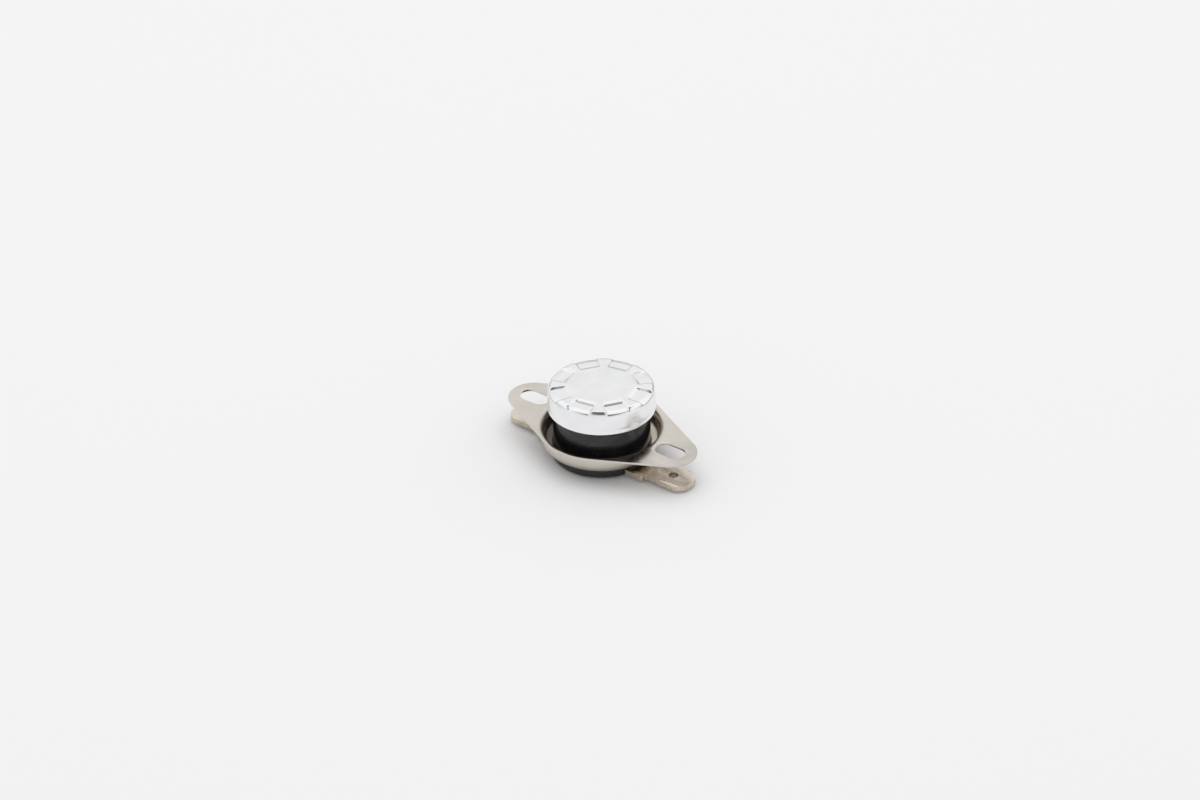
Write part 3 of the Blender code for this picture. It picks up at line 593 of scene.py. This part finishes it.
def build_cap(material):
    """The stamped and drawn cap, skinned over rings that follow its pads' walls."""
    inner_wall = pressed_wall(**INNER_WALL)
    inner = CAP_R - PAD_LENGTH
    rim_start = rim_bend(CAP_TOP - CAP_FILLET, 0, CAP_FILLET).x
    wall = pressed_wall(**SIDE_WALL)
    rings = []
    for step in range(1, CENTRE_RINGS):
        share = step / CENTRE_RINGS
        distance = lerp(0, inner + inner_wall[0][0], share)
        rings.append(top_ring(distance, max(0, share * 2 - 1), 0, wall))
    for offset, depth in inner_wall:
        rings.append(top_ring(inner + offset, 1, depth, wall))
    roll_start = rim_start - RIM_ROLL
    for step in range(1, FLOOR_RINGS + 1):
        share = step / FLOOR_RINGS
        distance = lerp(inner + inner_wall[-1][0], roll_start, share)
        rings.append(top_ring(distance, 1 - share, floor_depth(distance), wall))
    for step in range(1, ROLL_RINGS):
        distance = RIM_ROLL * step / ROLL_RINGS
        depth = floor_depth(roll_start + distance)
        drop = rolled(distance, RIM_ROLL, ROLL_TILT)
        rings.append(top_ring(roll_start + distance, 0, depth, wall, drop))
    for step in range(RIM_RINGS + 1):
        share = step / RIM_RINGS
        rings.append(cap_ring(lambda angle, sunk: rim_point(share, sunk), rim_start, wall))
    side_top = rim_point(1, 1).y
    bend_top = CAP_BOTTOM + CRIMP_BEND
    profile = []
    for step in range(1, SIDE_RINGS + 1):
        z = lerp(side_top, bend_top, step / SIDE_RINGS)
        profile.append((cap_radius(z), z))
    profile += arc((CAP_R - CRIMP_BEND, bend_top), CRIMP_BEND, -8, -90, 8)
    edge = 0.12 * MM
    lip = CAP_BOTTOM + CAP_WALL
    profile += arc((CAP_MOUTH_R + edge, CAP_BOTTOM + edge), edge, 270, 180, 4)
    profile += arc((CAP_MOUTH_R + edge, lip - edge), edge, 180, 90, 4)
    inside = CAP_TOP - PAD_DEPTH - CAP_WALL
    profile += [(CAP_R - CAP_WALL, lip), (cap_radius(inside) - CAP_WALL, inside - CAP_WALL)]
    profile += [(cap_radius(inside) - 2 * CAP_WALL, inside), (inner - CAP_WALL, inside)]
    profile += [(inner - 2 * CAP_WALL, inside + PAD_DEPTH)]
    for r, z in profile:
        rings.append(cap_ring(lambda angle, sunk: (r, z), rim_start, wall))
    cap = skin("cap_shell", rings, [material])
    cap.data.set_sharp_from_angle(angle=math.radians(50))
    place(cap, "case", "cap")


def cut_block(obj, x_low, x_high, width, z_low, z_high):
    """Cuts a box out of a piece."""
    shape = bmesh.new()
    bmesh.ops.create_cube(shape, size=1)
    for vert in shape.verts:
        vert.co.x = x_high if vert.co.x > 0 else x_low
        vert.co.y *= width
        vert.co.z = z_high if vert.co.z > 0 else z_low
    mesh = bpy.data.meshes.new("cutter")
    shape.to_mesh(mesh)
    shape.free()
    cutter = new_object("cutter", mesh, [])
    cut(obj, cutter)


def cut(obj, cutter):
    modifier = obj.modifiers.new("cut", "BOOLEAN")
    modifier.object = cutter
    apply_modifiers(obj)
    bpy.data.objects.remove(cutter, do_unlink=True)


def apply_modifiers(obj):
    graph = bpy.context.evaluated_depsgraph_get()
    mesh = bpy.data.meshes.new_from_object(obj.evaluated_get(graph))
    obj.modifiers.clear()
    obj.data = mesh


def soften(obj, width):
    """Rounds the sharp edges, and keeps the flats flat."""
    bevel = obj.modifiers.new("edges", "BEVEL")
    bevel.width = width
    bevel.segments = 3
    bevel.limit_method = "ANGLE"
    bevel.angle_limit = math.radians(50)
    bevel.harden_normals = False
    normals = obj.modifiers.new("flats", "WEIGHTED_NORMAL")
    normals.keep_sharp = False
    normals.weight = 90
    apply_modifiers(obj)


def build_base(material):
    """The moulded case, with its recesses for the terminals."""
    overcut = 1.0 * MM
    corners = [
        (0, CAVITY_FLOOR, 0), (CAVITY_R, CAVITY_FLOOR, 0.3 * MM), (CAVITY_R, GUIDE_LEDGE, 0.05 * MM),
        (MOUTH_R, GUIDE_LEDGE, 0.05 * MM), (MOUTH_R, BASE_HIGH.z, 0.12 * MM),
        (COLLAR_R, BASE_HIGH.z, 0.20 * MM), (COLLAR_R, COLLAR_BOTTOM, 0.06 * MM),
        (NECK_WAIST[0][0], COLLAR_BOTTOM, 0.06 * MM), (*NECK_WAIST[0], 0.10 * MM),
        (*NECK_WAIST[1], 0.50 * MM), (*NECK_WAIST[2], 0.30 * MM), (NECK_R, FLANGE_TOP, 0.15 * MM),
        (BASE_HIGH.x, FLANGE_TOP, 0.22 * MM), (BASE_HIGH.x, BASE_LOW.z, 0.25 * MM),
        (0, BASE_LOW.z, 0),
    ]
    base = lathe("case_moulding", corners, [material])
    recess_top = BLADE_HIGH.z + 0.05 * MM
    for sign in (-1, 1):
        near, far = sorted((sign * RECESS_INNER_X, sign * (BASE_HIGH.x + overcut)))
        cut_block(base, near, far, RECESS_WIDTH, BASE_LOW.z - overcut, recess_top)
        low, high = BASE_LOW.z - overcut, CAVITY_FLOOR + overcut
        corners = [(0, high, 0), (RIVET_HOLE_R, high, 0), (RIVET_HOLE_R, low, 0), (0, low, 0)]
        cut(base, lathe("cutter", corners, [], (sign * RIVET_X, 0), 48))
    base.data.shade_smooth()
    base.data.set_sharp_from_angle(angle=math.radians(35))
    place(base, "case", "base")


def plate_mesh(name, loops, thickness):
    """A flat plate from closed outlines: the rim first, and then its holes."""
    curve = bpy.data.curves.new(name, "CURVE")
    curve.dimensions = "2D"
    curve.fill_mode = "BOTH"
    curve.extrude = thickness / 2
    for loop in loops:
        spline = curve.splines.new("POLY")
        spline.points.add(len(loop) - 1)
        for point, (x, y) in zip(spline.points, loop):
            point.co = (x, y, 0, 1)
        spline.use_cyclic_u = True
    source = bpy.data.objects.new(name, curve)
    bpy.context.scene.collection.objects.link(source)
    graph = bpy.context.evaluated_depsgraph_get()
    mesh = bpy.data.meshes.new_from_object(source.evaluated_get(graph))
    bpy.data.objects.remove(source, do_unlink=True)
    bpy.data.curves.remove(curve)
    shape = bmesh.new()
    shape.from_mesh(mesh)
    bmesh.ops.remove_doubles(shape, verts=shape.verts, dist=0.001 * MM)
    shape.to_mesh(mesh)
    shape.free()
    return mesh


def build_terminal(side, turn, plate, edge):
    """A blade cut from plated strip: bright faces, and the brass bare along its cut edges."""
    root = (BLADE_HIGH.y - BLADE_LOW.y) / 2
    half = BLADE_WIDTH / 2
    corner = SHOULDER_RADIUS
    upper = [(BLADE_LOW.x, root)]
    upper += arc((SHOULDER_X - corner, root - corner), corner, 90, 0, 8)
    upper += arc((SHOULDER_X + corner, half + corner), corner, 180, 270, 8)
    upper += arc((BLADE_HIGH.x - TIP_RADIUS, half - TIP_RADIUS), TIP_RADIUS, 90, 0, 20)
    rim = upper + [(x, -y) for x, y in reversed(upper)]
    holes = [arc((RIVET_X, 0), RIVET_HOLE_R, 0, 360, 48)[:-1], arc((HOLE_X, 0), HOLE_R, 0, 360, 64)[:-1]]
    thickness = BLADE_HIGH.z - BLADE_LOW.z
    terminal = new_object(f"blade_{side}", plate_mesh("blade", [rim, *holes], thickness), [plate, edge])
    for face in terminal.data.polygons:
        face.material_index = 0 if abs(face.normal.z) > 0.5 else 1
    middle = (BLADE_LOW.z + BLADE_HIGH.z) / 2
    terminal.data.transform(Matrix.Translation((0, 0, middle)) @ Matrix.Rotation(turn, 4, "Z"))
    terminal.data.shade_smooth()
    soften(terminal, BLADE_ROUNDING)
    place(terminal, "case", f"terminal_{side}")


def build_rivet(side, sign, material):
    """A rivet, upset into a rounded foot under the terminal."""
    foot_r = (RIVET_HIGH.x - RIVET_LOW.x) / 2
    head = RIVET_HIGH.z - HEAD_HEIGHT
    corners = [
        (0, RIVET_HIGH.z, 0), (HEAD_R, RIVET_HIGH.z, 0.24 * MM), (HEAD_R, head, 0.04 * MM),
        (SHANK_R, head, 0.04 * MM), (SHANK_R, FOOT_HEIGHT, 0.04 * MM), (foot_r, FOOT_HEIGHT, 0.08 * MM),
        (foot_r, 0, 0.22 * MM), (0.50 * MM, 0, 0.10 * MM), (0.35 * MM, 0.15 * MM, 0.10 * MM),
        (0, 0.15 * MM, 0),
    ]
    rivet = lathe(f"rivet_{side}_turned", corners, [material], (sign * RIVET_X, 0), 96)
    place(rivet, "case", f"rivet_{side}")


def bracket_outline():
    """The plate's outline: a ring between two ears, joined by straight tangent edges."""
    lean = math.degrees(math.asin((RING_R - EAR_R) / EAR_X))
    points = arc((EAR_X, 0), EAR_R, lean - 90, 90 - lean, 40)
    points += arc((0, 0), RING_R, 90 - lean, 90 + lean, 48)
    points += arc((-EAR_X, 0), EAR_R, 90 + lean, 270 - lean, 40)
    points += arc((0, 0), RING_R, 270 - lean, 270 + lean, 48)
    return points


def slot_outline(sign):
    radius = SLOT_WIDTH / 2
    straight = SLOT_LENGTH / 2 - radius
    centre = sign * SLOT_X
    points = arc((centre + straight, 0), radius, -90, 90, 24)
    points += arc((centre - straight, 0), radius, 90, 270, 24)
    return points


def build_bracket(material):
    """One sheet: a slotted plate drawn down into a ring with a lip at its foot."""
    wall = WALL_R - SHEET
    lip_top = LIP_BOTTOM + SHEET
    profile = arc((wall + MOUTH_BEND, PLATE_TOP - MOUTH_BEND), MOUTH_BEND, 90, 180, 12)
    profile += arc((wall - LIP_BEND, lip_top + LIP_BEND), LIP_BEND, 0, -90, 8)
    profile += [(LIP_R, lip_top)]
    mouth = arc((0, 0), profile[0][0], 0, 360, AROUND)[:-1]
    mesh = plate_mesh("bracket_sheet", [bracket_outline(), mouth, slot_outline(1), slot_outline(-1)], 0)
    shape = bmesh.new()
    shape.from_mesh(mesh)
    for vert in shape.verts:
        vert.co.z = PLATE_TOP
    # Faces made one by one have the same order in each run, which an extrusion doesn't give
    beyond_mouth = (profile[0][0] + RING_R) / 2
    upper = [vert for vert in shape.verts if vert.co.xy.length < beyond_mouth]
    upper.sort(key=lambda vert: math.atan2(vert.co.y, vert.co.x))
    for radius, level in profile[1:]:
        lower = [shape.verts.new((*(vert.co.xy.normalized() * radius), level)) for vert in upper]
        for index in range(len(upper)):
            shape.faces.new((upper[index - 1], upper[index], lower[index], lower[index - 1]))
        upper = lower
    bmesh.ops.recalc_face_normals(shape, faces=shape.faces)
    if sum(face.normal.z * face.calc_area() for face in shape.faces) < 0:
        bmesh.ops.reverse_faces(shape, faces=shape.faces)
    shape.transform(Matrix.Rotation(BRACKET_TURN, 4, "Z"))
    shape.to_mesh(mesh)
    shape.free()
    mesh.shade_smooth()
    bracket = new_object("bracket_sheet", mesh, [material])
    sheet = bracket.modifiers.new("sheet", "SOLIDIFY")
    sheet.thickness = SHEET
    sheet.offset = -1
    sheet.use_even_offset = True
    soften(bracket, SHEAR_ROUNDING)
    place(bracket, "bracket", "bracket")


def finish_inner_nodes(finishes):
    """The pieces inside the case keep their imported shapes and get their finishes."""
    for node, material in finishes.items():
        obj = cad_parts[node]
        obj.data.materials.clear()
        obj.data.materials.append(material)


def build_floor():
    """A pale sweep for the object to stand on."""
    bpy.ops.mesh.primitive_plane_add(size=8)
    floor = bpy.context.object
    floor.name = "floor"
    material = bpy.data.materials.new("pale floor")
    material.use_nodes = True
    shader = material.node_tree.nodes["Principled BSDF"]
    shader.inputs["Base Color"].default_value = FLOOR_COLOUR
    shader.inputs["Roughness"].default_value = 0.9
    shader.inputs["Specular IOR Level"].default_value = 0.0
    floor.data.materials.append(material)


def camera_axes():
    """The camera's right, up and forward directions."""
    right = Vector((math.cos(CAMERA_AZIMUTH), math.sin(CAMERA_AZIMUTH), 0))
    away = WORLD_UP.cross(right)
    forward = away * math.cos(CAMERA_ELEVATION) - WORLD_UP * math.sin(CAMERA_ELEVATION)
    up = right.cross(forward)
    turned_right = right * math.cos(CAMERA_ROLL) + up * math.sin(CAMERA_ROLL)
    turned_up = up * math.cos(CAMERA_ROLL) - right * math.sin(CAMERA_ROLL)
    return turned_right, turned_up, forward


def build_camera():
    right, up, forward = camera_axes()
    aside = (AIM_PIXEL[0] - FRAME_WIDTH / 2) / FOCAL_PIXELS
    above = (FRAME_HEIGHT / 2 - AIM_PIXEL[1]) / FOCAL_PIXELS
    aim = Vector((0, 0, PLATE_TOP))
    data = bpy.data.cameras.new("camera")
    data.sensor_width = SENSOR_WIDTH
    data.lens = FOCAL_PIXELS * SENSOR_WIDTH / FRAME_WIDTH
    data.clip_start = 0.01
    camera = bpy.data.objects.new("camera", data)
    location = aim - (forward + right * aside + up * above) * CAMERA_DISTANCE
    turn = Matrix((right, up, -forward)).transposed()
    camera.matrix_world = Matrix.Translation(location) @ turn.to_4x4()
    bpy.context.scene.collection.objects.link(camera)
    bpy.context.scene.camera = camera


def add_softbox(name, azimuth, elevation, distance, size, power):
    """A soft lamp in this direction, in degrees. Reflections show the surround instead of it."""
    towards = direction(azimuth, elevation)
    data = bpy.data.lights.new(name, "AREA")
    data.shape = "DISK"
    data.size = size
    data.energy = power
    lamp = bpy.data.objects.new(name, data)
    lamp.location = towards * distance
    lamp.rotation_euler = towards.to_track_quat("Z", "Y").to_euler()
    lamp.visible_glossy = False
    bpy.context.scene.collection.objects.link(lamp)


def surround_level(nodes):
    """How bright metal sees the surround: bright all round, greyer overhead, a dark gap over the object."""
    where = nodes.add("ShaderNodeTexCoord").outputs["Generated"]
    height = nodes.along(where, WORLD_UP)
    bright = SURROUND_LEVEL * BRIGHT_GAIN
    level = nodes.spread(height, *BRIGHT_START, SURROUND_LEVEL, bright, smooth=True)
    ceiling = nodes.spread(height, *CEILING_START, 1, CEILING_GAIN, smooth=True)
    level = nodes.maths("MULTIPLY", level, ceiling)
    camera_side = direction(GAP_AZIMUTH, 0)
    near = nodes.along(where, camera_side)
    across = nodes.along(where, WORLD_UP.cross(camera_side))
    above = nodes.spread(height, *NEAR_HEIGHT, smooth=True)
    above = nodes.maths("MULTIPLY", above, nodes.spread(near, *NEAR_START, smooth=True))
    level = nodes.maths("MULTIPLY", level, nodes.spread(above, 0, 1, 1, NEAR_GAIN))
    leaning = nodes.maths("SUBTRACT", height, nodes.maths("MULTIPLY", across, LOW_LEAN))
    low = nodes.spread(leaning, *LOW_END, 1, 0, smooth=True)
    low = nodes.maths("MULTIPLY", low, nodes.spread(near, *LOW_SIDE, 1, 0, smooth=True))
    level = nodes.maths("MULTIPLY", level, nodes.spread(low, 0, 1, 1, LOW_GAIN))
    middle = nodes.along(where, direction(GAP_AZIMUTH, GAP_ELEVATION))
    narrow = nodes.spread(nodes.maths("ABSOLUTE", across, 0.0), *GAP_WIDTH, 1, 0, smooth=True)
    gap = nodes.maths("MULTIPLY", narrow, nodes.spread(middle, *GAP_LENGTH, 0, 1, smooth=True))
    return nodes.maths("MULTIPLY", level, nodes.spread(gap, 0, 1, 1, GAP_LEVEL))


def build_world():
    """An even surround for the light and the camera, and the one that metal mirrors."""
    world = bpy.data.worlds.new("surround")
    bpy.context.scene.world = world
    world.use_nodes = True
    nodes = Nodes(world.node_tree)
    light = world.node_tree.nodes["Background"]
    light.inputs["Color"].default_value = (1, 1, 1, 1)
    light.inputs["Strength"].default_value = WORLD_LIGHT
    seen = nodes.add("ShaderNodeBackground")
    path = nodes.add("ShaderNodeLightPath")
    plain = nodes.maths("MULTIPLY", path.outputs["Is Camera Ray"], SURROUND_LEVEL)
    nodes.link(nodes.maths("MAXIMUM", surround_level(nodes), plain), seen.inputs["Color"])
    shown = nodes.maths("MAXIMUM", path.outputs["Is Camera Ray"], path.outputs["Is Glossy Ray"])
    shown = nodes.maths("MAXIMUM", shown, path.outputs["Is Transmission Ray"])
    mix = nodes.add("ShaderNodeMixShader")
    nodes.link(shown, mix.inputs["Fac"])
    nodes.link(light.outputs["Background"], mix.inputs[1])
    nodes.link(seen.outputs["Background"], mix.inputs[2])
    nodes.link(mix.outputs["Shader"], world.node_tree.nodes["World Output"].inputs["Surface"])


def main():
    bpy.context.scene.view_settings.view_transform = "Standard"
    build_camera()
    build_world()
    build_floor()
    add_softbox("softbox", SOFTBOX_AZIMUTH, SOFTBOX_ELEVATION, 1.0, SOFTBOX_SIZE, SOFTBOX_POWER)

    phenolic = black_phenolic()
    plating = plated_brass()
    sheared = sheared_brass()
    brass = bare_brass()
    silver = contact_silver()
    build_cap(drawn_aluminium())
    build_base(phenolic)
    build_bracket(nickel_plate())
    for side, sign, turn in (("left", -1, math.pi), ("right", 1, 0.0)):
        build_terminal(side, turn, plating, sheared)
        build_rivet(side, sign, brass)
    finish_inner_nodes({
        "guide_plate": phenolic,
        "bimetal_disc": rolled_bimetal(),
        "push_pin": steatite(),
        "spring_carrier": brass,
        "fixed_contact_strip": brass,
        "contact_arm": bare_brass("spring copper", (0.82, 0.54, 0.34), (0.72, 0.44, 0.26)),
        "moving_contact": silver,
        "fixed_contact": silver,
    })


main()
